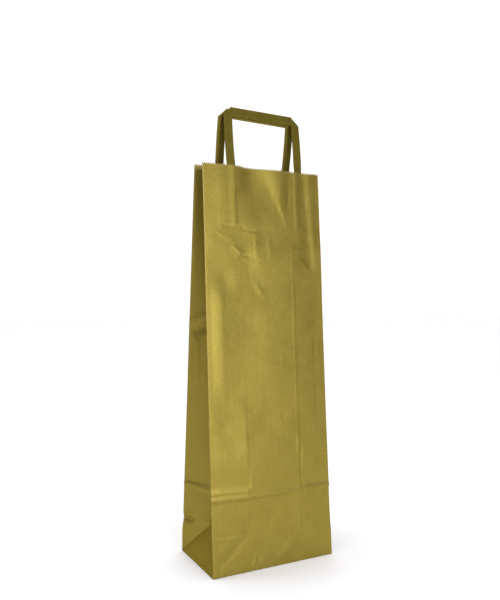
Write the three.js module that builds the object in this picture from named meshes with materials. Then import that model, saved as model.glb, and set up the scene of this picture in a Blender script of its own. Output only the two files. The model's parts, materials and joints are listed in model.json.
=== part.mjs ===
// One-bottle paper gift bag with a square bottom, folded-in side gussets and two flat tape handles.
// Millimetres, +Z up. The origin is the centre of the bottom, on the surface that the bag stands on.
// X is the bag's width, -Y is its front. The bag stands with its mouth about a quarter open, so the
// front and back lean towards each other and each gusset folds in as a V that deepens upwards.
import * as THREE from 'three';

// Driving dimensions
const WIDTH = 136; // front and back panels, corner to corner
const DEPTH = 80; // bottom, front to back: also the full width of one gusset
const HEIGHT = 400; // length of a panel, bottom fold to mouth
const MOUTH_DEPTH = 20.6; // front to back at the mouth, as the bag stands
const SHEET = 0.4; // thickness of one layer
const GAP = 0.3; // clearance between pieces that touch
const CORNER_GAP = 0.8; // clearance at the ends of the creases that run into a bottom corner
const GUSSET_START_Z = 2.5; // a gusset half starts as a narrow strip, just above a bottom corner
const DIAGONAL_GAP = 1; // from a gusset half down to the diagonal crease below it
const LIFT = 0.1; // how far the walls stop short of the ground, which the bottom rests on

const FLAP_GAP = 0.1; // between two layers of the bottom
const FLAP_OVERLAP = 12; // how far each long bottom flap passes the middle
const FLAP_INSET = 0.8; // clearance from the flaps to the outside of the bag
const TUCK_REACH = 46; // how far a short flap comes in under the long ones
const TUCK_INSET = 1; // further clearance at its folded end
const TUCK_TIP = 12; // width of its free end

const LAP_EDGE = 48; // free edge of the glued side lap, from the middle of the back
const LAP_WIDTH = 18;
const LAP_LIFT = 1.6; // the hidden end of the sheet stops this far above the panel's foot

const RING_Z = 75; // crease round the bag where the bottom folds up when it is stored flat

const TAPE_WIDTH = 9.6; // folded paper tape of the handles
const TAPE_THICKNESS = 0.6;
const LOOP_WIDTH = 88; // over both legs
const LOOP_LEAN = THREE.MathUtils.degToRad(8); // inwards from upright, until the two loops touch
const TAIL_LENGTH = 50; // glued part of each leg, inside the mouth
const PATCH_WIDTH = 110;
const PATCH_HEIGHT = 60;
const PATCH_DROP = 1; // from the mouth down to the patch

const HANDLES = {
  front: { offset: 3, height: 62 },
  back: { offset: 1.2, height: 61 },
};

// Worked-out dimensions
const LEAN = Math.asin((DEPTH - MOUTH_DEPTH) / 2 / HEIGHT);
const MOUTH_Z = HEIGHT * Math.cos(LEAN);
const GUSSET_HALF = DEPTH / 2;
const LOOP_PIVOT_Y = SHEET / 2; // in the plane of the panel
const LOOP_PIVOT_RISE = 0.3; // above the panel's top edge
const LOOP_CLEARANCE = 0.4; // from the panel's back to the tape
const LOOP_BACKSET = SHEET / 2 + TAPE_THICKNESS / 2 + LOOP_CLEARANCE; // to the tape's middle plane
const LOOP_START = 0.6; // lowest point of the loop above its pivot

const FACETS = { across: 4, foot: 4, lower: 3, upper: 14 }; // of each gusset half
const APEX_ROUNDS = 20; // of refining the height of the gusset's apex

const gold = { color: 0xa3934a, roughness: 0.42, metalness: 0.35 };
const tapeGold = { color: 0x77692b, roughness: 0.5, metalness: 0.25 };
const innerPaper = { color: 0xb9a06a, roughness: 0.8, metalness: 0 };

function named(name, geometry, look) {
  const mesh = new THREE.Mesh(geometry, new THREE.MeshStandardMaterial(look));
  mesh.name = name;
  return mesh;
}

// A flat piece from an outline of [x, y] points, thick along +Z.
function plate(outline, thickness) {
  const shape = new THREE.Shape(outline.map(([x, y]) => new THREE.Vector2(x, y)));
  return new THREE.ExtrudeGeometry(shape, { depth: thickness, bevelEnabled: false });
}

// The same, standing up: the outline's y becomes Z, and the thickness runs along +Y.
function standingPlate(outline, thickness) {
  return plate(outline, thickness).rotateX(Math.PI / 2).translate(0, thickness, 0);
}

function rectangle(x0, x1, y0, y1) {
  return [[x0, y0], [x1, y0], [x1, y1], [x0, y1]];
}

// A sheet through a grid of points (rows of equal length), given thickness on both sides.
function sheetThrough(rows, thickness) {
  const rowCount = rows.length;
  const columnCount = rows[0].length;
  const { clamp } = THREE.MathUtils;
  const at = (i, j) => rows[clamp(i, 0, rowCount - 1)][clamp(j, 0, columnCount - 1)];
  const positions = [];
  for (const side of [0.5, -0.5]) {
    for (let i = 0; i < rowCount; i++) {
      for (let j = 0; j < columnCount; j++) {
        const up = at(i + 1, j).clone().sub(at(i - 1, j));
        const across = at(i, j + 1).clone().sub(at(i, j - 1));
        const normal = across.cross(up).normalize();
        positions.push(...at(i, j).clone().addScaledVector(normal, side * thickness).toArray());
      }
    }
  }
  const layer = rowCount * columnCount;
  const front = (i, j) => i * columnCount + j;
  const back = (i, j) => layer + i * columnCount + j;
  const faces = [];
  const quad = (a, b, c, d) => faces.push(a, b, c, a, c, d);
  for (let i = 0; i + 1 < rowCount; i++) {
    for (let j = 0; j + 1 < columnCount; j++) {
      quad(front(i, j), front(i, j + 1), front(i + 1, j + 1), front(i + 1, j));
      quad(back(i, j), back(i + 1, j), back(i + 1, j + 1), back(i, j + 1));
    }
    const last = columnCount - 1;
    quad(front(i, 0), front(i + 1, 0), back(i + 1, 0), back(i, 0));
    quad(front(i, last), back(i, last), back(i + 1, last), front(i + 1, last));
  }
  for (let j = 0; j + 1 < columnCount; j++) {
    const last = rowCount - 1;
    quad(front(0, j), back(0, j), back(0, j + 1), front(0, j + 1));
    quad(front(last, j), front(last, j + 1), back(last, j + 1), back(last, j));
  }
  const geometry = new THREE.BufferGeometry();
  geometry.setAttribute('position', new THREE.Float32BufferAttribute(positions, 3));
  geometry.setIndex(faces);
  return geometry;
}

// How far the front and back are apart at a height, and how deep the gusset's V is there.
const depthAt = (z) => DEPTH - (DEPTH - MOUTH_DEPTH) * (z / MOUTH_Z);
const foldAt = (z) => Math.acos(depthAt(z) / DEPTH);

// The gusset's middle crease starts where its two lower diagonals meet, half a depth up the paper.
const APEX_Z = (() => {
  let z = GUSSET_HALF;
  for (let i = 0; i < APEX_ROUNDS; i++) z = GUSSET_HALF * Math.cos(foldAt(z));
  return z;
})();
const APEX_IN = GUSSET_HALF * Math.sin(foldAt(APEX_Z));

// The front half of the left gusset, from the panel's edge to the middle crease, at some levels.
// Behind is how far any second layer of the panel pushes it in.
function gussetHalf(levels, behind) {
  const columns = FACETS.across;
  const wall = SHEET + GAP + behind;
  return levels.map((z) => {
    const fold = foldAt(Math.max(z, APEX_Z));
    const reach = Math.min(1, (z - DIAGONAL_GAP) / APEX_Z); // share of the half above the diagonal
    const row = [];
    for (let j = 0; j <= columns; j++) {
      const share = (reach * j) / columns;
      const edgeY = -depthAt(z) / 2 + wall + SHEET / 2;
      const middleY = -(SHEET + GAP) / 2;
      const lowY = -depthAt(z) / 2 + GUSSET_HALF * share * Math.cos(fold);
      const highY = edgeY + (middleY - edgeY) * share;
      const y = z < APEX_Z ? Math.max(Math.min(lowY, middleY), edgeY + SHEET * share) : highY;
      const x = -WIDTH / 2 + SHEET + (GUSSET_HALF - SHEET) * Math.sin(fold) * share;
      row.push(new THREE.Vector3(x, y, z));
    }
    return row;
  });
}

function evenly(from, to, steps) {
  return Array.from({ length: steps + 1 }, (_, i) => from + ((to - from) * i) / steps);
}

// Each half has a short part below the crease ring and a long part above it.
const GUSSET_PARTS = {
  lower: [
    ...evenly(GUSSET_START_Z, APEX_Z, FACETS.foot),
    ...evenly(APEX_Z, RING_Z - GAP / 2, FACETS.lower).slice(1),
  ],
  upper: evenly(RING_Z + GAP / 2, MOUTH_Z, FACETS.upper),
};

function mirrored(rows, flipX, flipY) {
  const turned = rows.map((row) => row.map((p) => new THREE.Vector3(flipX * p.x, flipY * p.y, p.z)));
  return flipX * flipY > 0 ? turned : turned.map((row) => row.slice().reverse());
}

function gussets() {
  const group = new THREE.Group();
  for (const [side, flipX] of [['left', 1], ['right', -1]]) {
    for (const [half, flipY] of [['front', 1], ['rear', -1]]) {
      const onLap = side === 'left' && half === 'rear';
      for (const [part, levels] of Object.entries(GUSSET_PARTS)) {
        const rows = mirrored(gussetHalf(levels, onLap ? SHEET + FLAP_GAP : 0), flipX, flipY);
        group.add(named(`${side}_gusset_${half}_${part}`, sheetThrough(rows, SHEET), gold));
      }
    }
  }
  return group;
}

// The flat triangle below each gusset, hinged on the bottom's short edge.
function lowerTriangles() {
  const group = new THREE.Group();
  const halfBase = GUSSET_HALF - SHEET - CORNER_GAP;
  const rise = halfBase - CORNER_GAP;
  for (const [side, turn] of [['left', 1], ['right', -1]]) {
    const outline = [[-halfBase, 0], [halfBase, 0], [0, rise]];
    const mesh = named(`${side}_lower_triangle`, standingPlate(outline, SHEET), gold);
    const lean = Math.atan2(APEX_IN, APEX_Z);
    mesh.geometry.translate(0, -SHEET, 0).rotateZ(Math.PI / 2).rotateY(lean);
    mesh.position.set(-WIDTH / 2, 0, LIFT + SHEET * Math.sin(lean));
    const turned = new THREE.Group();
    turned.rotation.z = turn > 0 ? 0 : Math.PI;
    turned.add(mesh);
    group.add(turned);
  }
  return group;
}

// Two long flaps, one over the other, close the bottom. The two short ones lie inside them.
function bottom() {
  const group = new THREE.Group();
  const x = WIDTH / 2 - FLAP_INSET;
  const y = DEPTH / 2 - FLAP_INSET;
  const long = y + FLAP_OVERLAP; // depth of a long flap, whose ends slant in at 45 degrees
  const longFlap = [[-x, -y], [x, -y], [x - long, -y + long], [-x + long, -y + long]];
  const outer = named('bottom_outer_flap', plate(longFlap, SHEET), gold);
  outer.rotation.z = Math.PI;
  const inner = named('bottom_inner_flap', plate(longFlap, SHEET), gold);
  inner.position.z = SHEET + FLAP_GAP;
  group.add(outer, inner);
  const cut = TUCK_REACH - GUSSET_HALF / 2;
  const outX = x - TUCK_INSET;
  const tipX = x - TUCK_REACH;
  const tipY = TUCK_TIP / 2;
  const shortFlap = [[outX, -y], [outX, y], [x - cut, y], [tipX, tipY], [tipX, -tipY], [x - cut, -y]];
  for (const [side, turn] of [['right', 0], ['left', Math.PI]]) {
    const tuck = named(`bottom_${side}_tuck_flap`, plate(shortFlap, SHEET), gold);
    tuck.rotation.z = turn;
    tuck.position.z = 2 * (SHEET + FLAP_GAP);
    group.add(tuck);
  }
  return group;
}

// One leg of tape glued inside the mouth.
function tail(name, x) {
  const y = SHEET + FLAP_GAP;
  const outline = rectangle(x - TAPE_WIDTH / 2, x + TAPE_WIDTH / 2, HEIGHT - TAIL_LENGTH, HEIGHT - GAP);
  return named(name, standingPlate(outline, TAPE_THICKNESS).translate(0, y, 0), tapeGold);
}

// The loop above the mouth: two legs and a bar, its outer corners folded at 45 degrees.
function loop(name, height) {
  const out = LOOP_WIDTH / 2;
  const leg = out - TAPE_WIDTH;
  const outline = [
    [-out, LOOP_START], [-leg, LOOP_START], [-leg, height - TAPE_WIDTH], [leg, height - TAPE_WIDTH],
    [leg, LOOP_START], [out, LOOP_START], [out, height - TAPE_WIDTH], [leg, height],
    [-leg, height], [-out, height - TAPE_WIDTH],
  ];
  const geometry = standingPlate(outline, TAPE_THICKNESS);
  geometry.translate(0, LOOP_BACKSET - TAPE_THICKNESS / 2, 0);
  return named(name, geometry, tapeGold);
}

// A front or back with everything fixed to it, in its own plane: +Z up the sheet, +Y into the bag.
function wall(side, { offset, height }) {
  const group = new THREE.Group();
  const low = LIFT / Math.cos(LEAN);
  if (side === 'front') {
    const outline = rectangle(-WIDTH / 2, WIDTH / 2, low, HEIGHT);
    group.add(named('front_panel', standingPlate(outline, SHEET), gold));
  } else {
    // The sheet's two ends meet here: the wide one outside, the narrow one glued behind it.
    const wide = rectangle(-WIDTH / 2, LAP_EDGE, low, HEIGHT);
    const narrow = rectangle(LAP_EDGE - LAP_WIDTH, WIDTH / 2, low + LAP_LIFT, HEIGHT);
    const behind = SHEET + FLAP_GAP;
    group.add(named('back_panel', standingPlate(wide, SHEET), gold));
    group.add(named('back_lap', standingPlate(narrow, SHEET).translate(0, behind, 0), gold));
  }
  const inward = side === 'front' ? 0 : SHEET + FLAP_GAP; // clear of the lap
  const legX = LOOP_WIDTH / 2 - TAPE_WIDTH / 2;
  const fixings = new THREE.Group();
  fixings.position.y = inward;
  fixings.add(tail(`${side}_handle_left_tail`, offset - legX));
  fixings.add(tail(`${side}_handle_right_tail`, offset + legX));
  const top = HEIGHT - PATCH_DROP;
  const patch = rectangle(offset - PATCH_WIDTH / 2, offset + PATCH_WIDTH / 2, top - PATCH_HEIGHT, top);
  const patchY = SHEET + 2 * FLAP_GAP + TAPE_THICKNESS;
  fixings.add(named(`${side}_patch`, standingPlate(patch, SHEET).translate(0, patchY, 0), innerPaper));
  group.add(fixings);
  const pivot = new THREE.Group();
  pivot.position.set(offset, LOOP_PIVOT_Y, HEIGHT + LOOP_PIVOT_RISE);
  pivot.rotation.x = -(LOOP_LEAN - LEAN);
  pivot.add(loop(`${side}_handle_loop`, height));
  group.add(pivot);
  group.position.y = -DEPTH / 2;
  group.rotation.x = -LEAN;
  const placed = new THREE.Group();
  placed.rotation.z = side === 'front' ? 0 : Math.PI;
  placed.add(group);
  return placed;
}

const bag = new THREE.Group();
bag.add(bottom(), lowerTriangles(), gussets(), wall('front', HANDLES.front), wall('back', HANDLES.back));

export default bag;
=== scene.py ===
"""A one-bottle paper gift bag: its creased gold sheet, folded tape handles and glued patches.

Lengths are in millimetres until a mesh is made. A sheet's own coordinates are x across it and s up
it, with h standing out from its face. They come from the frame's joints and boxes.
"""

import json
import math

import bpy
import numpy as np
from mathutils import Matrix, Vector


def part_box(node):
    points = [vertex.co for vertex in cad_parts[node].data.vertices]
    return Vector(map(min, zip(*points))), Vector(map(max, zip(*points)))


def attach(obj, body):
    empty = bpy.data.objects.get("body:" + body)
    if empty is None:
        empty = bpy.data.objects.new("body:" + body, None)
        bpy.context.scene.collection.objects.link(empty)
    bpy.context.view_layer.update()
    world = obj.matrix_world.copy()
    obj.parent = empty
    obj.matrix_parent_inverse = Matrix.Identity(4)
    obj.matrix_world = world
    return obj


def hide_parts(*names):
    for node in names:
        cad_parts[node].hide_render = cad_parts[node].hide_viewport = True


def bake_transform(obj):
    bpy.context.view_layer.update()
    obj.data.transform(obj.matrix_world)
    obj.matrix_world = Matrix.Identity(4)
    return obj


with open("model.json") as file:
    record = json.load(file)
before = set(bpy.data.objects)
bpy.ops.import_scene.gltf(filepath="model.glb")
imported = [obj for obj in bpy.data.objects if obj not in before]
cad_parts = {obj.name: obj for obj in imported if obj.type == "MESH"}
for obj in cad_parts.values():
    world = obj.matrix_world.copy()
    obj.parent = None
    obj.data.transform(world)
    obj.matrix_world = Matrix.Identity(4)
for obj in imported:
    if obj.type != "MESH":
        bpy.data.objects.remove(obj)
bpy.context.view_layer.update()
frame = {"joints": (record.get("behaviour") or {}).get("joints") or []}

METRE = 1000.0
JOINTS = {j["name"]: j for j in frame["joints"]}

# ---------------------------------------------------------------- sizes, from the frame
HALF_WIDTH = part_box("front_panel")[1].x * METRE
HALF_DEPTH = -JOINTS["mouth_front"]["pos_m"][1] * METRE
MOUTH_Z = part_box("left_gusset_front_upper")[1].z * METRE
LEAN = math.asin(JOINTS["left_gusset_front_fold"]["axis"][1])
HEIGHT = MOUTH_Z / math.cos(LEAN)
HALF_MOUTH = HALF_DEPTH - HEIGHT * math.sin(LEAN)
LAP_FREE_EDGE = -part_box("back_panel")[0].x * METRE
LAP_HIDDEN_EDGE = -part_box("back_lap")[1].x * METRE
TAPE_WIDTH = (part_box("front_handle_left_tail")[1].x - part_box("front_handle_left_tail")[0].x) * METRE
PRINT = HALF_WIDTH - HALF_DEPTH  # from the middle to where a folded gusset's edge prints through

# ---------------------------------------------------------------- sizes that only the looks need
PAPER = 0.25  # thickness drawn for one layer
TAPE = 0.55  # thickness of the folded tape
TAPE_DEPTH = 0.75  # the tape's middle lies this far behind a wall's outer face
TAIL = 49.0  # how far a glued tail reaches down inside
HANDLE_LEAN = math.radians(8.0)  # each loop leans in by this much
CORNER_ROUND = 0.14  # how much the folds at the upright corners are rounded off
RING = 75.0  # height up the sheet of the storage crease
RING_LINE = RING - 2.4  # crest of the ridge that the crease leaves
COLUMNS = 114  # steps across a wall; two make one tooth of the pinked top edge
GUSSET_COLUMNS = 32
TAPE_STEPS = 15  # points across the tape
ROW_STEP = 1.5
TOOTH = 1.15  # half the height of a tooth of the pinked edge
MIDDLE_DROP = 2.8  # a gusset's middle crease ends this far below the mouth's corners
REAR_RISE = 1.9  # the sheet stands this much higher at the mouth's rear left corner
FRONT_RISE = 0.9  # the small step in the front's cut edge
RIB_PITCH = 0.0011  # metres between the kraft's ribs


# ---------------------------------------------------------------- small maths
def smooth(t):
    t = np.clip(t, 0, 1)
    return t * t * (3 - 2 * t)


def bell(d, width):
    return np.exp(-((d / width) ** 2))


def window(v, low, high, soft):
    """1 between low and high, falling to 0 over soft outside them."""
    return smooth((v - low + soft) / soft) * smooth((high + soft - v) / soft)


def corner_fold(d, radius):
    """A fold: |d| with its tip rounded to that radius."""
    return np.sqrt(d * d + radius * radius) - radius


def noise(u, v, cell, seed):
    """Smooth noise from -1 to 1 with features of about one cell."""
    rng = np.random.default_rng(seed)
    grid = rng.uniform(-1, 1, (64, 64))
    a, b = np.asarray(u) / cell + 20, np.asarray(v) / cell + 20
    i, j = np.floor(a).astype(int), np.floor(b).astype(int)
    f, g = smooth(a - i), smooth(b - j)

    def at(p, q):
        return grid[p % 64, q % 64]

    low = at(i, j) * (1 - f) + at(i + 1, j) * f
    high = at(i, j + 1) * (1 - f) + at(i + 1, j + 1) * f
    return low * (1 - g) + high * g


def along(x, s, start, end):
    """Across-distance to the line from start to end, and how far along it, 0 to 1."""
    (x0, s0), (x1, s1) = start, end
    length = math.hypot(x1 - x0, s1 - s0)
    ux, us = (x1 - x0) / length, (s1 - s0) / length
    t = ((x - x0) * ux + (s - s0) * us) / length
    d = (x - x0) * -us + (s - s0) * ux
    return d, t


def crease(x, s, start, end, height, width, fade=0.3):
    """A ridge (or, with height below 0, a furrow) from start to end."""
    d, t = along(x, s, start, end)
    return height * bell(d, width) * window(t, fade, 1 - fade, fade)


def creases(x, s, marks):
    """Several creases, each written as its start, end, height, width and, if not 0.3, its fade."""
    return sum(crease(x, s, *mark) for mark in marks)


def slope(x, start, end, rise):
    """A change of level by rise between start and end."""
    return rise * smooth((x - start) / (end - start))


def tent(x, start, top, end, rise):
    """A change of level by rise between start and top, which then dies away slowly to end."""
    return slope(x, start, top, rise) - slope(x, top, end, rise)


def ridge(d, before, after):
    """A swell, 1 at d = 0, of one width before it and another after it."""
    return np.where(d < 0, bell(d, before), bell(d, after))


# ---------------------------------------------------------------- the walls and gussets in space
class Wall:
    """The front or back: sheet coordinates to space. h is out of the bag."""

    def __init__(self, side):
        turn = -1 if side == "front" else 1
        self.side = side
        self.origin = np.array([0.0, turn * HALF_DEPTH, 0.0])
        self.across = np.array([-float(turn), 0.0, 0.0])
        self.up = np.array([0.0, -turn * math.sin(LEAN), math.cos(LEAN)])
        self.out = np.array([0.0, turn * math.cos(LEAN), math.sin(LEAN)])

    def place(self, x, s, h):
        x, s, h = (np.asarray(v, float)[..., None] for v in np.broadcast_arrays(x, s, h))
        return self.origin + x * self.across + s * self.up + h * self.out


FRONT, BACK = Wall("front"), Wall("back")


def depth_at(z):
    """Distance between the walls at a height."""
    return 2 * (HALF_DEPTH - (HALF_DEPTH - HALF_MOUTH) * z / MOUTH_Z)


def fold_at(z):
    """How far a gusset half is turned out of the side's plane at a height."""
    return np.arccos(np.clip(depth_at(z) / (2 * HALF_DEPTH), -1, 1))


# The top of the lower triangle, whose height and turn depend on each other.
APEX_Z = HALF_DEPTH
for _ in range(20):
    APEX_Z = HALF_DEPTH * math.cos(fold_at(APEX_Z))
APEX_IN = HALF_DEPTH * math.sin(fold_at(APEX_Z))


# ---------------------------------------------------------------- relief of the paper
FOOT_CREASES = (
    # the crease half the depth up, which ends at the gussets' imprints
    ((-72, 38.6), (-29, 36.6), -0.34, 0.9, 0.12),
    ((-72, 36.2), (-29, 34.4), 0.20, 1.3, 0.12),
    ((-32, 48), (-28, 33), -0.3, 1.8),
    ((70, 38), (30, 38), -0.08, 1.8, 0.1),
    # diagonals of the folded bottom, and the soft folds between them
    ((-28, 38), (-60, 9), -0.42, 4.2),
    ((-36, 44), (-66, 17), 0.16, 3.5),
    ((29, 38), (58, 13), -0.18, 3.2),
    ((1, 2), (29, 29), 0.42, 4.2),
    ((-10, 26), (18, 52), 0.22, 6.0),
    # knocks
    ((-25.5, 1), (-20, 14), 0.42, 1.5),
    ((-22, 3), (-16, 14), -0.25, 2.0),
    ((-66, 4), (-56, 16), -0.25, 3.0),
)
# A furrow along the right upright line, from below the storage crease, and two kinks above it.
STRIP_CREASES = (
    ((33.2, 60), (33.2, 135), -0.18, 1.4),
    ((32.0, 130), (30.6, 106), 0.32, 1.4),
    ((35.0, 120), (31.0, 86), -0.28, 1.6),
)
MOUTH_CREASES = (
    # the sharp end of the soft fold that hangs between the tails
    ((16.5, 370), (27, 338), 0.16, 1.5),
    # the patch's lower edge, printing through at the left
    ((-48, 339.7), (-29, 339.2), -0.30, 1.0, 0.1),
    ((-48, 342.4), (-29, 342.0), 0.16, 1.3, 0.1),
    ((-29, 340.5), (-20.5, 335.2), -0.30, 1.1, 0.2),
    ((-22.5, 335.4), (-9, 335.2), -0.34, 1.0, 0.2),
    ((-24, 332.6), (-6, 332.4), 0.24, 1.6, 0.15),
    # a short crease below the right tail, and a faint one close to the mouth
    ((33, 319.5), (47, 319.8), -0.24, 1.1, 0.2),
    ((33, 317.2), (47, 317.4), 0.14, 1.4, 0.2),
    ((-53, 390.5), (-30, 391.8), -0.12, 0.9, 0.1),
)
DENT_CREASES = (
    # a sharp dent below the left tail
    ((-40, 321.5), (-23.5, 309.0), 0.36, 1.9, 0.4),
    ((-42, 333), (-18, 313), -0.07, 4.0),
    ((-29.5, 310.4), (-17, 309.4), -0.42, 1.1, 0.3),
    ((-27, 307.4), (-18, 306.8), 0.22, 1.3, 0.3),
    # soft folds below the patch
    ((-12.0, 340), (-11.0, 303), 0.18, 2.2, 0.45),
    ((3.0, 340), (5.5, 300), 0.17, 3.2, 0.45),
    ((-19, 291), (1, 264), 0.24, 3.2, 0.4),
    ((34, 314), (54, 294), 0.13, 3.5),
    # broad buckles above the storage crease
    ((-48, 176), (-16, 128), 0.45, 9.0),
    ((-60, 150), (-34, 112), -0.35, 8.0),
)
# A gusset's fold printing through, the crease half the depth up and its diagonals, and creases at
# and below the patch's lower edge.
BACK_CREASES = (
    ((-29, 30), (-28, 300), 0.14, 1.2, 0.06),
    ((-70, 40), (-29, 39), -0.2, 1.8, 0.08),
    ((-29, 39), (-60, 12), -0.3, 3.0),
    ((29, 39), (60, 12), -0.25, 3.0),
    ((-44, 338), (-18, 337), -0.35, 1.6, 0.1),
    ((12, 336), (44, 338), -0.3, 1.6, 0.1),
    ((20, 322), (-4, 300), 0.4, 2.6, 0.15),
)
# The left gusset's rear half: a buckle across it, and the dart pushed into its corner.
BUCKLE_CREASES = (((2, 232), (32, 246), -1.7, 5.0, 0.1), ((2, 242), (32, 257), 0.9, 5.0, 0.1))
DART_CREASES = (((-4, 35.0), (19, 38.5), -1.3, 2.0, 0.2), ((-4, 40.0), (17, 42.5), 0.4, 2.4, 0.2))


def ring_profile(d, left=0.0):
    """Section of the storage crease. left is 1 where a second line runs above it."""
    h = slope(d, -3.8, 0.3, 0.62) + slope(d, 0.3, 3.6, -0.50 - 0.1 * left)
    h = h + left * (slope(d, 3.4, 4.8, 0.24) + slope(d, 5.4, 11.5, -0.62))
    return h + slope(d, 12, 70, -0.12) + left * slope(d, 12, 34, 0.48)


def cockle(x, s, seed):
    """The slight waviness that any handled sheet has."""
    return (
        0.30 * noise(x, s, 46, seed)
        + 0.14 * noise(x, s, 19, seed + 1)
        + 0.035 * noise(x, s, 7, seed + 2)
    )


def wrinkles(x, s, seed, count=46):
    """Faint short creases, scattered by handling."""
    rng = np.random.default_rng(seed)
    h = np.zeros(np.broadcast(x, s).shape)
    for _ in range(count):
        start = rng.uniform((-HALF_WIDTH, 0), (HALF_WIDTH, HEIGHT))
        turn = rng.uniform(0, math.pi)
        length = rng.uniform(8, 38)
        end = start + length * np.array([math.cos(turn), math.sin(turn)])
        h += crease(x, s, start, end, rng.normal(0, 0.10), rng.uniform(0.9, 3.0), 0.4)
    return h


def quiet_edges(x, s):
    """Fades relief out next to the upright folds and the bottom, which hold the sheet straight."""
    side = smooth((HALF_WIDTH - np.abs(x)) / 9.0)
    return side * smooth(s / 10.0)


def rounded(x, s):
    """Draws the sheet in where it turns round a fold."""
    at_side = bell(HALF_WIDTH - np.abs(x), 0.8)
    at_bottom = bell(s, 0.9)
    return -CORNER_ROUND * np.maximum(at_side, at_bottom)


def front_ring(x, s):
    """The storage crease, with a second line where the left gusset lay under it."""
    d = s - (RING_LINE - 0.01 * (x + HALF_WIDTH)) - 0.5 * noise(x, s * 0, 22, 5)
    left = smooth((-25 - x) / 3)
    return (1.7 - 0.2 * left) * ring_profile(d, left)


def front_imprints(x, s):
    """What the folded gussets print through: upright lines, and the strips beyond them raised."""
    above = smooth((s - 24) / 20)
    fade = 0.35 + 0.65 * smooth((330 - s) / 90)
    strip = np.clip(x, -HALF_WIDTH, -PRINT) + HALF_WIDTH - HALF_DEPTH * smooth((x + PRINT) / 90)
    h = 0.044 * strip * window(s, 78, 112, 40)
    h += tent(x, -29.5, -25, 30, -0.22) * window(s, 44, 140, 60) * above
    h += tent(x, -67, -51, 20, 1.05) * window(s, 190, 262, 30)
    h += tent(x, -52, -44, 0, -0.16) * window(s, 160, 268, 25)
    wander = 0.7 * noise(x * 0, s, 37, 44)
    line = bell(x - 31.4 + 0.0073 * (325 - s) + wander, 1.2)
    h += 0.14 * line * window(s, 40, 305, 30) * fade
    return h + creases(x, s, STRIP_CREASES)


def front_right_strip(x, s):
    """The strips that fall away as far as the right corner itself."""
    above = smooth((s - 24) / 20)
    fade = 0.3 + 0.7 * smooth((330 - s) / 90)
    h = (slope(x, 30.5, HALF_WIDTH, -1.15) + slope(x, 30.5, 34, -0.10)) * above * fade
    h += slope(x, 51, 56, -0.20) * window(s, 140, 230, 20)
    middle = 53 + 0.06 * (372 - s)
    dip = slope(x, middle - 4, middle + 4, 0.6) - slope(x, 38, middle - 4, 0.6)
    h += dip * smooth((s - 285) / 20)
    return h + slope(x, 57, 67, -0.5) * window(s, 340, 400, 25)


def front_mouth(x, s):
    """The tails and the patch printing through, and the soft folds between them."""
    glued = smooth((s - 336) / 7)
    h = tent(x, -62, -44, 66, 0.7) * smooth((s - 325) / 30)
    h += glued * (slope(x, -41.5, -33.4, 0.34) + slope(x, -33.4, -31.0, -0.26))
    h += tent(x, -34, -13, 16, -2.3) * smooth((s - 354) / 44)
    left = np.interp(s, (341, 357, 374, 394), (24, 15.3, 6.6, -3.0))
    right = np.interp(s, (341, 366, 394), (27, 19, 19))
    share = smooth((s - 338) / 14)
    fold = smooth((x - left) / (right - left)) - smooth((x - right) / (3 + 9 * share))
    h += (0.12 + 0.85 * smooth((s - 345) / 45)) * share * fold
    h += glued * (slope(x, 34.8, 37.4, 0.20) + slope(x, 37.6, 45, -0.30))
    return h + creases(x, s, MOUTH_CREASES)


def front_dents(x, s):
    """Where the paper has buckled below the patch."""
    d = s - (310 - 5 * smooth((x + 24) / 48))
    h = 0.85 * ridge(d, 15.0, 17.0) * window(x, -6, 30, 18)
    h -= 0.55 * bell(x + 46, 9) * bell(s - 284, 12)
    h -= 0.8 * bell(x + 24, 22) * bell(s - 232, 46)
    h += 0.9 * bell(x - 6, 26) * bell(s - 200, 60)
    h += 0.45 * bell(x - 2, 22) * bell(s - 112, 22)
    return h + creases(x, s, DENT_CREASES)


def relief_front(x, s):
    h = front_imprints(x, s) + creases(x, s, FOOT_CREASES) + front_mouth(x, s) + front_dents(x, s)
    h += cockle(x, s, 11) + wrinkles(x, s, 12)
    strip = front_right_strip(x, s)
    return h * quiet_edges(x, s) + strip + front_ring(x, s) + rounded(x, s)


def relief_back(x, s):
    above = smooth((s - 20) / 20)
    from_print = np.abs(x) - PRINT
    h = 0.6 * above * (1 - smooth((from_print + 0.5) / 42.0))
    h -= 0.010 * above * (corner_fold(from_print - 0.5, 1.2) + from_print - 0.5)
    tails = 0.0
    for x0 in (-38.0, 40.4):
        tails = np.maximum(tails, window(x, x0 - 3.6, x0 + 3.6, 2.2) * smooth((s - 344) / 7))
    h += 0.45 * tails
    h += 0.2 * window(x, -53, 56, 2.0) * smooth((s - 336) / 3.0)
    h -= 0.8 * bell(x - 6, 20) * bell(s - 282, 22)
    h += 0.7 * bell(x + 30, 20) * bell(s - 190, 50)
    h += creases(x, s, BACK_CREASES) + cockle(x, s, 31) + wrinkles(x, s, 32)
    ring = 1.2 * ring_profile(s - RING_LINE - 0.5 * noise(x, s * 0, 22, 25))
    return h * quiet_edges(x, s) + ring + rounded(x, s)


def relief_lap(x, s):
    """The narrow end of the sheet lies behind the wide one."""
    return relief_back(x, s) - 1.15 * PAPER


RELIEF = {"front": relief_front, "back": relief_back}


def corner_x(wall_side, x, s):
    """Rounds off the upright folds, and pushes in the rear left one where it was knocked."""
    squeeze = CORNER_ROUND / HALF_WIDTH * bell(HALF_WIDTH - np.abs(x), 0.8)
    if wall_side == "back":
        near = bell(HALF_WIDTH - np.clip(x, 0, None), 14)
        squeeze = squeeze + (0.013 * bell(s - 35.5, 4.5) - 0.006 * bell(s - 19, 9.0)) * near
    return x * (1 - squeeze)


def front_step(x):
    """The small step in the front's cut edge, left of the middle."""
    return FRONT_RISE * smooth((-23.0 - x) / 1.5)


def rear_step(x):
    return REAR_RISE * smooth((x - 5) / (HALF_WIDTH - 5))


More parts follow.
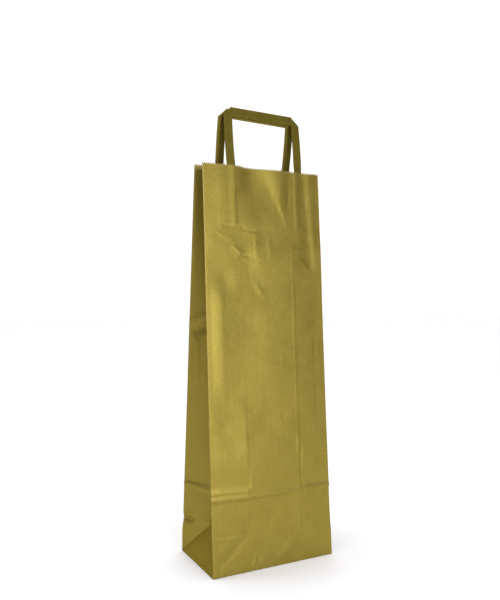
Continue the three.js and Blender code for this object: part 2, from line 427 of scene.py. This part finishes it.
def pinked(column, s, step):
    """Row heights with the top row cut to teeth."""
    tooth = np.where(np.asarray(column) % 2 == 0, TOOTH, -TOOTH)
    near_top = smooth((s - (HEIGHT - 2.2)) / 2.2)
    return s + (tooth + step) * near_top


# ---------------------------------------------------------------- meshes
def closed_sheet(name, grid, paper, thickness, wear=None, cut=("top",), inner=None, crisp=True):
    """A sheet with its two faces and four rims, from the points of its outer face.

    grid is rows x columns x 3 in millimetres with the outside seen when rows go up and columns go
    right. paper is the same points' place on the flat sheet. Faces get material 0 outside and on
    rims where the sheet folds on, 1 inside and 2 on the rims named in cut. The edges between faces
    and rims are drawn crisp unless told otherwise.
    """
    rows, columns = grid.shape[:2]
    up, right = np.gradient(grid, axis=0), np.gradient(grid, axis=1)
    normal = np.cross(right, up)
    normal /= np.linalg.norm(normal, axis=2, keepdims=True) + 1e-12
    if inner is None:
        inner = grid - normal * thickness
    points = np.concatenate([grid.reshape(-1, 3), inner.reshape(-1, 3)]) / METRE
    index = np.arange(rows * columns).reshape(rows, columns)
    layer = rows * columns
    a, b, c, d = index[:-1, :-1], index[:-1, 1:], index[1:, 1:], index[1:, :-1]
    outside = np.stack([a, b, c, d], -1).reshape(-1, 4)
    inside = np.stack([a, d, c, b], -1).reshape(-1, 4) + layer

    def rim(line):
        p, q = line[:-1], line[1:]
        return np.stack([p, p + layer, q + layer, q], -1)

    rims = {
        "bottom": rim(index[0]),
        "top": rim(index[-1][::-1]),
        "left": rim(index[:, 0][::-1]),
        "right": rim(index[:, -1]),
    }
    faces = np.concatenate([outside, inside, *rims.values()])
    kinds = [np.zeros(len(outside)), np.ones(len(inside))]
    kinds += [np.full(len(faces_of), 2 if key in cut else 0) for key, faces_of in rims.items()]
    mesh = bpy.data.meshes.new(name)
    mesh.from_pydata(points.tolist(), [], faces.tolist())
    mesh.polygons.foreach_set("material_index", np.concatenate(kinds).astype(np.int32))
    mesh.polygons.foreach_set("use_smooth", np.ones(len(faces), bool))
    if crisp:
        border = np.ones((rows, columns), bool)
        border[1:-1, 1:-1] = False
        ends = np.zeros(2 * len(mesh.edges), np.int32)
        mesh.edges.foreach_get("vertices", ends)
        sharp = border.ravel()[ends.reshape(-1, 2) % layer].all(axis=1)
        mesh.attributes.new("sharp_edge", "BOOLEAN", "EDGE").data.foreach_set("value", sharp)
    flat = np.concatenate([paper.reshape(-1, 2)] * 2) / METRE
    place = mesh.attributes.new("paper", "FLOAT_VECTOR", "POINT")
    place.data.foreach_set("vector", np.c_[flat, np.zeros(len(flat))].astype(np.float32).ravel())
    worn = np.zeros((rows, columns)) if wear is None else wear
    value = mesh.attributes.new("wear", "FLOAT", "POINT")
    value.data.foreach_set("value", np.tile(np.clip(worn, 0, 1).ravel(), 2).astype(np.float32))
    mesh.update()
    thing = bpy.data.objects.new(name, mesh)
    bpy.context.scene.collection.objects.link(thing)
    return thing


def dress(thing, materials):
    for material in materials:
        thing.data.materials.append(material)


# ---------------------------------------------------------------- materials
class Nodes:
    """Short calls for building a node tree."""

    def __init__(self, name):
        self.material = bpy.data.materials.new(name)
        self.material.use_nodes = True
        self.tree = self.material.node_tree
        self.tree.nodes.clear()

    def new(self, kind, inputs=None, **settings):
        node = self.tree.nodes.new(kind)
        for key, value in settings.items():
            setattr(node, key, value)
        for key, value in (inputs or {}).items():
            if isinstance(value, bpy.types.NodeSocket):
                self.tree.links.new(value, node.inputs[key])
            else:
                node.inputs[key].default_value = value
        return node

    def maths(self, operation, a, b=0.0, clamp=False):
        node = self.new("ShaderNodeMath", {0: a, 1: b}, operation=operation, use_clamp=clamp)
        return node.outputs[0]

    def mix(self, factor, a, b):
        node = self.new("ShaderNodeMix", {0: factor, 6: a, 7: b}, data_type="RGBA")
        return node.outputs[2]

    def range(self, value, low, high):
        node = self.new("ShaderNodeMapRange", {"Value": value, "To Min": low, "To Max": high})
        return node.outputs[0]

    def paper(self, scale_u=1.0, scale_v=1.0):
        place = self.new("ShaderNodeAttribute", attribute_name="paper")
        stretched = self.new(
            "ShaderNodeVectorMath",
            {0: place.outputs["Vector"], 1: (scale_u, scale_v, 1.0)},
            operation="MULTIPLY",
        )
        return stretched.outputs[0]

    def noise(self, vector, scale, detail=3.0, rough=0.55):
        inputs = {"Vector": vector, "Scale": scale, "Detail": detail, "Roughness": rough}
        return self.new("ShaderNodeTexNoise", inputs).outputs["Fac"]

    def ribs(self, pitch):
        inputs = {"Vector": self.paper(), "Scale": 1 / (20 * pitch), "Distortion": 0.0}
        wave = self.new("ShaderNodeTexWave", inputs, wave_type="BANDS", bands_direction="X")
        return wave.outputs["Fac"]

    def bump(self, height, strength, distance, normal=None):
        inputs = {"Height": height, "Strength": strength, "Distance": distance}
        if normal is not None:
            inputs["Normal"] = normal
        return self.new("ShaderNodeBump", inputs).outputs[0]

    def finish(self, **sockets):
        shader = self.new("ShaderNodeBsdfPrincipled", sockets)
        output = self.new("ShaderNodeOutputMaterial")
        self.tree.links.new(shader.outputs[0], output.inputs[0])
        return self.material


def coated_paper(name, light, dark, worn, edge, metallic, rough):
    """Metallic coating on ribbed kraft: fine upright ribs, fibres, mottling and cracked folds."""
    n = Nodes(name)
    mottle = n.noise(n.paper(), 55, 4, 0.6)
    fibre = n.noise(n.paper(3.2, 0.35), 900, 3, 0.65)
    grain = n.noise(n.paper(), 2600, 2, 0.6)
    speckle = n.noise(n.paper(), 620, 4, 0.75)
    pebble = n.noise(n.paper(), 230, 3, 0.6)
    crack = n.noise(n.paper(), 700, 4, 0.7)
    ribs = n.ribs(RIB_PITCH)
    shade = n.maths("MULTIPLY", mottle, 0.75)
    shade = n.maths("ADD", shade, n.maths("MULTIPLY", fibre, 0.30))
    shade = n.maths("ADD", shade, n.maths("MULTIPLY", ribs, 0.06))
    shade = n.maths("ADD", shade, n.maths("MULTIPLY", n.maths("SUBTRACT", speckle, 0.5), 1.7))
    shade = n.maths("SUBTRACT", shade, 0.12, clamp=True)
    wear = n.new("ShaderNodeAttribute", attribute_name="wear").outputs["Fac"]
    broken = n.maths("MULTIPLY", wear, n.maths("GREATER_THAN", crack, 0.48))
    broken = n.maths("MULTIPLY", broken, 0.6)
    roughness = n.range(mottle, rough - 0.06, rough + 0.08)
    normal = n.bump(pebble, 0.5, 0.0003)
    normal = n.bump(ribs, 0.2, 0.00003, normal)
    normal = n.bump(fibre, 0.5, 0.00005, normal)
    normal = n.bump(grain, 0.35, 0.00003, normal)
    normal = n.bump(mottle, 0.25, 0.0004, normal)
    return n.finish(
        **{
            "Base Color": n.mix(broken, n.mix(shade, dark, light), worn),
            "Roughness": n.maths("ADD", roughness, n.maths("MULTIPLY", broken, 0.3)),
            "Metallic": metallic,
            "Normal": normal,
            "Specular IOR Level": 0.12,
            "Specular Tint": edge,
        }
    )


def kraft(name, light, dark, rough=0.85):
    """Uncoated brown paper: long fibres, specks and a soft tooth."""
    n = Nodes(name)
    mottle = n.noise(n.paper(), 80, 5, 0.6)
    fibre = n.noise(n.paper(4.0, 0.4), 700, 4, 0.7)
    speck = n.noise(n.paper(), 1500, 2, 0.5)
    shade = n.maths("ADD", n.maths("MULTIPLY", mottle, 0.6), n.maths("MULTIPLY", fibre, 0.45))
    colour = n.mix(n.maths("SUBTRACT", shade, 0.05, clamp=True), dark, light)
    dot = n.maths("GREATER_THAN", speck, 0.68)
    colour = n.mix(n.maths("MULTIPLY", dot, 0.35), colour, (0.16, 0.09, 0.04, 1))
    normal = n.bump(fibre, 0.6, 0.00006)
    normal = n.bump(mottle, 0.3, 0.0003, normal)
    return n.finish(**{"Base Color": colour, "Roughness": rough, "Normal": normal})


gold = coated_paper(
    "gold_paper",
    light=(0.345, 0.268, 0.057, 1),
    dark=(0.250, 0.190, 0.027, 1),
    worn=(0.42, 0.30, 0.13, 1),
    edge=(0.72, 0.58, 0.22, 1),
    metallic=0.85,
    rough=0.46,
)
# The tape's own darker gold, with painted shade on top: every tone here was darkened by a further tenth
# to stand in for the shade that the front handle and the bag cast on the legs.
tape_gold_with_painted_shade = coated_paper(
    "tape_gold_with_painted_shade",
    light=(0.195, 0.150, 0.026, 1),
    dark=(0.125, 0.094, 0.012, 1),
    worn=(0.28, 0.20, 0.07, 1),
    edge=(0.42, 0.33, 0.10, 1),
    metallic=0.8,
    rough=0.5,
)
inside_kraft = kraft("inside_kraft", (0.54, 0.36, 0.175, 1), (0.40, 0.25, 0.11, 1))
cut_edge = kraft("cut_edge", (0.58, 0.44, 0.24, 1), (0.40, 0.28, 0.13, 1), 0.9)
patch_kraft = kraft("patch_kraft", (0.50, 0.33, 0.16, 1), (0.36, 0.225, 0.10, 1))
SHEET_MATERIALS = (gold, inside_kraft, cut_edge)


# ---------------------------------------------------------------- the folded sheet
def up_the_sheet(low, high):
    """Row heights about one step apart."""
    return np.linspace(low, high, max(3, round((high - low) / ROW_STEP) + 1))


def wall_wear(x, s):
    """Where the coating has cracked: at the creases, folds and cut edge."""
    ring = bell(s - RING + 1, 0.9) * 0.25
    fold = bell(HALF_WIDTH - np.abs(x), 0.6) * 0.1
    foot = bell(s, 0.7) * 0.5
    mouth = bell(HEIGHT - s, 0.9)
    return np.maximum.reduce([ring, fold, foot, mouth])


def wall_sheet(wall, name, node, relief, columns, step, rims=("top",)):
    """One wall between the given column numbers, from the bottom fold to the pinked mouth."""
    numbers = np.arange(columns[0], columns[1] + 1)
    x = -HALF_WIDTH + 2 * HALF_WIDTH * numbers / COLUMNS
    x, s = np.meshgrid(x, up_the_sheet(0.15, HEIGHT))
    cut = pinked(numbers[None, :], s, step(x))
    grid = wall.place(corner_x(wall.side, x, s), cut, relief(x, s))
    sheet = closed_sheet(name, grid, np.stack([x, s], -1), PAPER, wall_wear(x, s), rims)
    dress(sheet, SHEET_MATERIALS)
    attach(sheet, wall.side)
    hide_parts(node)


def walls():
    """The front, then the back's wide end and the narrow end glued behind its free edge."""
    per_column = 2 * HALF_WIDTH / COLUMNS
    free = round((LAP_FREE_EDGE + HALF_WIDTH) / per_column)
    hidden = round((LAP_HIDDEN_EDGE + HALF_WIDTH) / per_column)
    wide, narrow = (0, free), (hidden, COLUMNS)
    wall_sheet(FRONT, "front_sheet", "front_panel", relief_front, (0, COLUMNS), front_step)
    cut_right, cut_left = ("top", "right"), ("top", "left")
    wall_sheet(BACK, "back_sheet", "back_panel", relief_back, wide, rear_step, cut_right)
    wall_sheet(BACK, "back_lap_sheet", "back_lap", relief_lap, narrow, rear_step, cut_left)


def corner_line(side, half, s, rows_cut):
    """Where a wall's upright fold runs, which the gusset starts from."""
    outward = -1 if side == "left" else 1
    if half == "front":
        wall, relief, x = FRONT, relief_front, outward * HALF_WIDTH
    else:
        wall, x = BACK, -outward * HALF_WIDTH
        relief = relief_lap if side == "left" else relief_back
    x = np.full_like(s, x)
    return wall.place(corner_x(wall.side, x, s), rows_cut, relief(x, s))


def middle_line(side, s):
    """Where the gusset's rows end: the diagonal up to the apex, then the middle crease."""
    inward = 1 if side == "left" else -1
    share = np.clip(s / HALF_DEPTH, 0, 1)
    z_mid = APEX_Z + (s - HALF_DEPTH) * (MOUTH_Z - MIDDLE_DROP - APEX_Z) / (HEIGHT - HALF_DEPTH)
    z = np.where(s < HALF_DEPTH, APEX_Z * share, z_mid)
    inset = np.where(s < HALF_DEPTH, APEX_IN * share, HALF_DEPTH * np.sin(fold_at(z_mid)))
    return inward * (-HALF_WIDTH + inset), share, z


def gusset_relief(side, half, u, s):
    """How far the gusset's paper stands off the flat between its edges. u is across the half."""
    wide = np.minimum(HALF_DEPTH, np.maximum(s, 1e-3))
    inside = np.sin(np.pi * np.clip(u / wide, 0, 1))
    calm = inside * smooth(s / 30)
    seed = {"left": 40, "right": 60}[side] + {"front": 0, "rear": 10}[half]
    h = calm * cockle(u, s, seed)
    d = s - RING_LINE
    ring = slope(d, -3.5, 1.0, 1.1) + slope(d, 1.0, 4.2, -1.5) + slope(d, 4.2, 40, 0.4)
    h += ring * smooth(u / 1.5) * smooth((wide - u) / 5.0)
    h += inside * wrinkles(u * 3 - HALF_WIDTH, s, seed + 5, 16)
    h -= 0.7 * calm * smooth((s - 60) / 60)
    if (side, half) == ("left", "rear"):
        h += creases(u, s, BUCKLE_CREASES) * inside
        h += crease(u, s, (10.5, 180), (9.5, 226), 0.55, 2.0, 0.08)
        h += creases(u, s, DART_CREASES) * smooth(u / 1.5)
        h += 0.7 * bell(u - 9, 7) * bell(s - 25, 7)
    else:
        h += crease(u, s, (0, 40), (40, 40), -0.35, 1.8, 0.12) * inside
    return h


# Each stretch of a gusset half: where it starts and ends up the sheet, and the CAD solid replaced.
GUSSET_PARTS = {
    "foot": (0.6, HALF_DEPTH, "lower"),
    "lower": (HALF_DEPTH, RING, None),
    "upper": (RING, HEIGHT, "upper"),
}


def gusset_half(side, half):
    """Half a gusset, in the three stretches between its creases."""
    turn = (-1 if side == "left" else 1) * (1 if half == "front" else -1)
    share_y = -1 if half == "front" else 1
    for part, (low, high, cad_part) in GUSSET_PARTS.items():
        s = up_the_sheet(low, high)
        numbers = np.arange(GUSSET_COLUMNS + 1)
        grid = np.zeros((len(s), len(numbers), 3))
        paper = np.zeros((len(s), len(numbers), 2))
        x_mid, share, z_mid = middle_line(side, s)
        for j in numbers:
            t = j / GUSSET_COLUMNS
            rise = REAR_RISE * (1 - t) if (side, half) == ("left", "rear") else 0.0
            cut = pinked(j, s, rise)
            edge = corner_line(side, half, s, cut)
            y_mid = np.where(s < HALF_DEPTH, share_y * HALF_DEPTH * (1 - share), 0.0)
            middle = np.stack([x_mid, y_mid, z_mid + (cut - s)], -1)
            grid[:, j] = edge + (middle - edge) * t
            paper[:, j, 0] = t * np.minimum(s, HALF_DEPTH)
            paper[:, j, 1] = s
        across = grid[:, -1] - grid[:, 0]
        upward = np.gradient(grid[:, 0], axis=0)
        normal = np.cross(across, upward) * turn
        normal /= np.linalg.norm(normal, axis=1, keepdims=True) + 1e-9
        u, up = paper[..., 0], paper[..., 1]
        h = gusset_relief(side, half, u, up)
        if part == "foot":
            h = h * smooth((up - u) / 4.0)
        grid += normal[:, None] * h[..., None]
        wear = np.maximum(0.1 * bell(u, 0.6), bell(HEIGHT - up, 0.9))
        if turn < 0:
            grid, paper, wear = grid[:, ::-1], paper[:, ::-1], wear[:, ::-1]
        name = f"{side}_gusset_{half}_{part}_sheet"
        sheet = closed_sheet(name, grid, paper, PAPER, wear)
        dress(sheet, SHEET_MATERIALS)
        leaf = f"{side}_gusset_{half}"
        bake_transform(sheet)
        if cad_part:
            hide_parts(f"{leaf}_{cad_part}")


def lower_triangle(side):
    """The flat triangle between a bottom edge and the two diagonals."""
    outward, seed = {"left": (-1, 80), "right": (1, 90)}[side]
    foot = np.array([0.0])
    front, back = (corner_line(side, half, foot, foot)[0] for half in ("front", "rear"))
    front, back = (np.array([outward * HALF_WIDTH, p[1], 0.0]) for p in (front, back))
    apex = np.array([outward * (HALF_WIDTH - APEX_IN), 0.0, APEX_Z])
    rise = np.linspace(0.005, 0.985, 30)[:, None, None]
    across = np.linspace(0, 1, 41)[None, :, None]
    left, right = (back, front) if side == "left" else (front, back)
    grid = (left + (apex - left) * rise) * (1 - across) + (right + (apex - right) * rise) * across
    u = ((across - 0.5) * 2 * HALF_DEPTH * (1 - rise))[..., 0]
    v = (rise * HALF_DEPTH + 0 * across)[..., 0]
    calm = np.sin(np.pi * across[..., 0]) * np.sin(np.pi * np.clip(rise[..., 0], 0, 1))
    h = calm * (0.6 + cockle(u, v, seed))
    normal = np.cross(right - left, apex - left)
    normal /= np.linalg.norm(normal)
    grid = grid + normal * h[..., None]
    wear = 0.5 * bell(v, 0.7)
    sheet = closed_sheet(f"{side}_lower_side_sheet", grid, np.stack([u, v], -1), PAPER, wear)
    dress(sheet, SHEET_MATERIALS)
    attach(sheet, f"{side}_lower_side")
    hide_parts(f"{side}_lower_triangle")


# ---------------------------------------------------------------- bottom
FREE_RIMS = ("top", "left", "right")  # a bottom flap is cut on all but its fold


def flap_sheet(name, node, x, y, z, paper, wear):
    """A bottom flap from its points, given with the rows going away from the fold."""
    grid = np.stack([x, y, z], -1)[:, ::-1]
    sheet = closed_sheet(name, grid, np.stack(paper, -1)[:, ::-1], PAPER, wear, FREE_RIMS)
    dress(sheet, SHEET_MATERIALS)
    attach(sheet, "base")
    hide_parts(node)


def long_flap(place, turn, overlap, lift):
    """A long flap, slanting in at 45 degrees to its free edge, which may lie on the other's."""
    reach = HALF_DEPTH + overlap - 0.4
    v, t = np.meshgrid(np.linspace(0, reach, 42), np.linspace(0, 1, 80), indexing="ij")
    x = (2 * t - 1) * (HALF_WIDTH - 0.5 - v)
    y = -HALF_DEPTH + 0.4 + v
    over = lift * smooth((v - (HALF_DEPTH - overlap) + 6) / 5)
    z = over + 0.05 * noise(x, y, 14, 7) * smooth(v / 6) + 0.03
    name, node = f"bottom_{place}_sheet", f"bottom_{place}_flap"
    flap_sheet(name, node, turn * x, turn * y, z, (x, -v), 0.9 * bell(v, 1.0))


def tuck_flap(side, turn):
    """A short flap, folded in first, so it lies inside the long ones."""
    low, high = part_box("bottom_left_tuck_flap")
    reach = (high.x - low.x) * METRE
    v, t = np.meshgrid(np.linspace(0, reach, 36), np.linspace(0, 1, 60), indexing="ij")
    half = HALF_DEPTH - 0.6 - 26 * smooth((v - (reach - 20)) / 20)
    x = HALF_WIDTH - 0.5 - v
    y = (2 * t - 1) * half
    z = 0.95 + 0.08 * noise(x, y, 12, 9) * smooth(v / 6) - 0.6 * (1 - smooth(v / 3))
    name, node = f"bottom_{side}_tuck_sheet", f"bottom_{side}_tuck_flap"
    flap_sheet(name, node, turn * x, turn * y, z, (y, v), 0.5 * bell(v, 0.8))


def bottom():
    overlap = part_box("bottom_outer_flap")[0].y * -METRE
    long_flap("outer", -1, overlap, 0.0)
    long_flap("inner", 1, overlap, 0.34)
    tuck_flap("left", -1)
    tuck_flap("right", 1)


# ---------------------------------------------------------------- handles and patches
# How far the bar slopes and sits low, from being pulled by one hand, and the seed of its wave.
BAR_SET = {"front": (-0.022, 0.3, 71), "back": (0.028, 1.5, 72)}
PATCH_DEPTH = {"front": 0.42, "back": 0.65}  # behind the wall's outer face; the back has the lap
TAIL_SWELL = 0.85  # how much further in the patch lies over a tail
FOLD_STEPS = np.linspace(0, math.pi, 7)[1:-1]  # the turns over each 45-degree fold of the tape
TURN_RISE = 4.0  # the legs' rows skew to 45 degrees over this height below the fold


def tape_columns():
    """Places across the tape, 0 to 1, closer together at its rounded edges."""
    t = np.linspace(0, 1, TAPE_STEPS)
    return 0.5 - 0.5 * np.cos(np.pi * t)


def handle_centre_line(half_width, height):
    """The tape's middle surface in the handle's plane, row by row from one tail to the other.

    Each row holds points (x, z, layer): z is above the mouth's pivot and layer is how far the tape
    lies behind the plane. At each top corner the tape folds over at 45 degrees, so that the bar
    runs one layer behind the legs.
    """
    t = tape_columns()
    out, leg = half_width, half_width - TAPE_WIDTH
    outer_top, inner_top = height - TAPE_WIDTH, height
    skew_start = outer_top - TURN_RISE
    bend = TAPE * 0.55
    rows, lengths = [], []

    def row(outer, inner, layer, travelled):
        points = np.outer(1 - t, outer) + np.outer(t, inner)
        rows.append(np.c_[points, np.full(TAPE_STEPS, layer)])
        lengths.append(travelled)

    def skewed_row(side, k, start, way):
        outer, inner = skew_start + TURN_RISE * k, skew_start + (inner_top - skew_start) * k
        row((side * out, outer), (side * leg, inner), 0.0, start + way * (outer + inner) / 2)

    def folded_rows(side, way, start):
        for angle in FOLD_STEPS:
            push = bend * math.sin(angle) / math.sqrt(2) * 0.6
            outer = (side * (out + push), outer_top + push)
            inner = (side * (leg + push), inner_top + push)
            row(outer, inner, bend * (1 - way * math.cos(angle)), start + angle * bend)

    levels = [*np.linspace(-TAIL, -1.5, 26), *np.arange(-1.0, 8.0, 0.5)]
    levels += [*np.linspace(8.5, skew_start, 22)]
    for z in levels:
        row((-out, z), (-leg, z), 0.0, z + TAIL)
    for k in np.linspace(0, 1, 9)[1:]:
        skewed_row(-1, k, TAIL, 1)
    folded_rows(-1, 1, lengths[-1])
    start = lengths[-1] + 0.3
    for k in np.linspace(-1, 1, 72):
        row((out * k, outer_top), (leg * k, inner_top), 2 * bend, start + (out + leg) * k / 2 + out)
    folded_rows(1, -1, lengths[-1])
    start = lengths[-1] + inner_top
    for k in np.linspace(1, 0, 9)[:-1]:
        skewed_row(1, k, start, -1)
    for z in reversed(levels):
        row((out, z), (leg, z), 0.0, start - z)
    return np.array(rows), np.array(lengths)


def handle(wall):
    """One length of flat folded tape: tail, leg, bar, leg, tail."""
    side = wall.side
    node = f"{side}_handle_loop"
    pivot = JOINTS[f"{side}_handle_swing"]["pos_m"]
    low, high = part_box(node)
    half_width = (high.x - low.x) / 2 * METRE
    offset = (high.x + low.x) / 2 * METRE * (1 if side == "front" else -1)
    height = (high.z - pivot[2]) * METRE / math.cos(HANDLE_LEAN)
    bar_slope, bar_drop, seed = BAR_SET[side]
    rows, lengths = handle_centre_line(half_width, height)
    x, z, layer = rows[..., 0], rows[..., 1], rows[..., 2]
    tilt = HANDLE_LEAN - LEAN
    above = np.clip(z, 0, None)
    # the legs bow a little, the bar dips in its middle, and the tape is never quite flat
    x = x + 0.5 * np.sin(above / height * math.pi) * np.sign(x) * (np.abs(x) > 25)
    z = z + (bar_slope * x - bar_drop) * smooth(above / height)
    depth = TAPE_DEPTH + layer + 0.13 * noise(x, z, 21, seed) * smooth(above / 12)
    s = HEIGHT + 0.3 + np.where(z > 0, z * math.cos(tilt), z)
    h = RELIEF[side](x + offset, s) * (1 - smooth(above / 8)) - (depth + above * math.sin(tilt))
    centre = wall.place(corner_x(side, x + offset, s), s, h)
    v = (tape_columns() - 0.5) * TAPE_WIDTH
    d = np.clip((np.abs(v) - (TAPE_WIDTH / 2 - TAPE / 2)) / (TAPE / 2), 0, 1)
    half = TAPE / 2 * np.sqrt(np.clip(1 - d * d, 0.03, 1))
    ply = 0.07 * smooth((v - 1.2) / 0.5) - 0.03  # the third ply ends in a line along the tape
    along_tape, across = np.gradient(centre, axis=0), np.gradient(centre, axis=1)
    normal = np.cross(across, along_tape)
    normal /= np.linalg.norm(normal, axis=2, keepdims=True) + 1e-12
    outer = centre + normal * (half + np.maximum(ply, 0) * (half > 0.2))[None, :, None]
    inner = centre - normal * half[None, :, None]
    paper = np.stack([np.broadcast_to(v, x.shape), np.broadcast_to(lengths[:, None], x.shape)], -1)
    wear = 0.5 * np.broadcast_to(bell(np.abs(v) - TAPE_WIDTH / 2, 0.5), x.shape)
    piece = closed_sheet(f"{side}_handle_tape", outer, paper, 0.0, wear, (), inner, False)
    # the tape's material carries painted shade as well as its own gold
    dress(piece, (tape_gold_with_painted_shade, tape_gold_with_painted_shade, tape_gold_with_painted_shade))
    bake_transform(piece)
    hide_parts(node, f"{side}_handle_left_tail", f"{side}_handle_right_tail")


def patch(wall):
    """The glued patch that covers the two tails inside the mouth."""
    side = wall.side
    low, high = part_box(f"{side}_patch")
    turn = 1 if side == "front" else -1
    x0, x1 = sorted((low.x * METRE * turn, high.x * METRE * turn))
    s0, s1 = (low.z * METRE / math.cos(LEAN), high.z * METRE / math.cos(LEAN))
    x, s = np.meshgrid(np.linspace(x1, x0, 90), np.linspace(s0, s1 - 0.3, 44))
    loop_low, loop_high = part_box(f"{side}_handle_loop")
    middle = (loop_low.x + loop_high.x) / 2 * METRE * turn
    leg = (loop_high.x - loop_low.x) / 2 * METRE - TAPE_WIDTH / 2
    tails = 0.0
    for x_leg in (middle - leg, middle + leg):
        over = window(x, x_leg - TAPE_WIDTH / 2, x_leg + TAPE_WIDTH / 2, 3.0)
        tails = np.maximum(tails, over * smooth((s - (HEIGHT - TAIL - 4)) / 5))
    h = RELIEF[side](x, s) - PATCH_DEPTH[side] - TAIL_SWELL * tails - 0.05 * noise(x, s, 10, 3)
    grid = wall.place(corner_x(side, x, s), s, h)
    piece = closed_sheet(f"{side}_inner_patch", grid, np.stack([x, s], -1), PAPER)
    dress(piece, (patch_kraft, patch_kraft, cut_edge))
    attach(piece, side)
    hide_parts(f"{side}_patch")


# ---------------------------------------------------------------- room, lights and camera
FLOOR_REACH = 6.0  # metres
FLOOR_DROP = 0.0002  # keeps the floor clear of the bottom sheet
AMBIENT, BRIGHT = 0.22, 1.12  # strength of the world's light, and of its bright wall
BRIGHT_SIDE = (0.463, 0.886, 0.0)  # direction of that wall
BRIGHT_FROM, BRIGHT_FULL = 0.62, 0.84  # how near that direction it begins and is full, as cosines
AIM = (0, 0, 0.22)  # what the softboxes face
SOFTBOXES = {"key": ((0.05, -1.6, 0.48), 0.6, 11), "side": ((-1.1, 0.5, 1.1), 0.5, 4)}
SOFTBOX_COLOUR = (0.98, 1.0, 1.25)
OVERHEAD_STRENGTH = 2.45
OVERHEAD_SPREAD = math.radians(95)
EYE = (-0.3222, -0.5991, 0.2735)
EYE_TURN = (89.233, -0.253, -27.596)  # degrees
LENS = 39.08


def studio():
    signs = ((-1, -1), (1, -1), (1, 1), (-1, 1))
    corners = [(a * FLOOR_REACH, b * FLOOR_REACH, -FLOOR_DROP) for a, b in signs]
    floor_mesh = bpy.data.meshes.new("floor")
    floor_mesh.from_pydata(corners, [], [(0, 1, 2, 3)])
    floor = bpy.data.objects.new("floor", floor_mesh)
    bpy.context.scene.collection.objects.link(floor)
    pale = bpy.data.materials.new("pale_floor")
    pale.use_nodes = True
    shader = pale.node_tree.nodes["Principled BSDF"]
    shader.inputs["Base Color"].default_value = (0.93, 0.93, 0.93, 1)
    shader.inputs["Roughness"].default_value = 0.9
    floor_mesh.materials.append(pale)


def studio_world():
    """Even light all round, with a brighter wall of light on the far side of the bag."""
    world = bpy.data.worlds.new("studio")
    bpy.context.scene.world = world
    world.use_nodes = True
    tree = world.node_tree
    place = tree.nodes.new("ShaderNodeTexCoord")
    facing = tree.nodes.new("ShaderNodeVectorMath")
    facing.operation = "DOT_PRODUCT"
    facing.inputs[1].default_value = BRIGHT_SIDE
    tree.links.new(place.outputs["Generated"], facing.inputs[0])
    ramp = tree.nodes.new("ShaderNodeMapRange")
    ramp.interpolation_type = "SMOOTHSTEP"
    ramp.inputs["From Min"].default_value = BRIGHT_FROM
    ramp.inputs["From Max"].default_value = BRIGHT_FULL
    ramp.inputs["To Min"].default_value = AMBIENT
    ramp.inputs["To Max"].default_value = BRIGHT
    tree.links.new(facing.outputs["Value"], ramp.inputs["Value"])
    background = tree.nodes["Background"]
    background.inputs["Color"].default_value = (1, 1, 1, 1)
    tree.links.new(ramp.outputs[0], background.inputs["Strength"])


def softbox(name, place, size, power):
    light = bpy.data.lights.new(name, "AREA")
    light.shape = "RECTANGLE"
    light.size = light.size_y = size
    light.energy = power
    light.color = SOFTBOX_COLOUR
    lamp = bpy.data.objects.new(name, light)
    lamp.location = place
    aim = np.array(AIM, float) - np.array(place, float)
    yaw = math.atan2(aim[0], aim[1])
    pitch = math.atan2(aim[2], math.hypot(aim[0], aim[1]))
    lamp.rotation_euler = (math.pi / 2 + pitch, 0, -yaw)
    bpy.context.scene.collection.objects.link(lamp)


def lights():
    for name, (place, size, power) in SOFTBOXES.items():
        softbox(name, place, size, power)
    above = bpy.data.lights.new("above", "SUN")
    above.energy = OVERHEAD_STRENGTH
    above.angle = OVERHEAD_SPREAD
    lamp = bpy.data.objects.new("above", above)
    bpy.context.scene.collection.objects.link(lamp)


def camera():
    lens = bpy.data.cameras.new("camera")
    lens.sensor_fit = "VERTICAL"
    lens.sensor_height = 36.0
    lens.lens = LENS
    eye = bpy.data.objects.new("camera", lens)
    eye.location = EYE
    eye.rotation_euler = [math.radians(turn) for turn in EYE_TURN]
    bpy.context.scene.collection.objects.link(eye)
    bpy.context.scene.camera = eye


camera()
studio()
studio_world()
lights()
bpy.context.scene.view_settings.view_transform = "Standard"
walls()
for gusset_side in ("left", "right"):
    for gusset_end in ("front", "rear"):
        gusset_half(gusset_side, gusset_end)
    lower_triangle(gusset_side)
bottom()
for wall in (FRONT, BACK):
    handle(wall)
for wall in (FRONT, BACK):
    patch(wall)
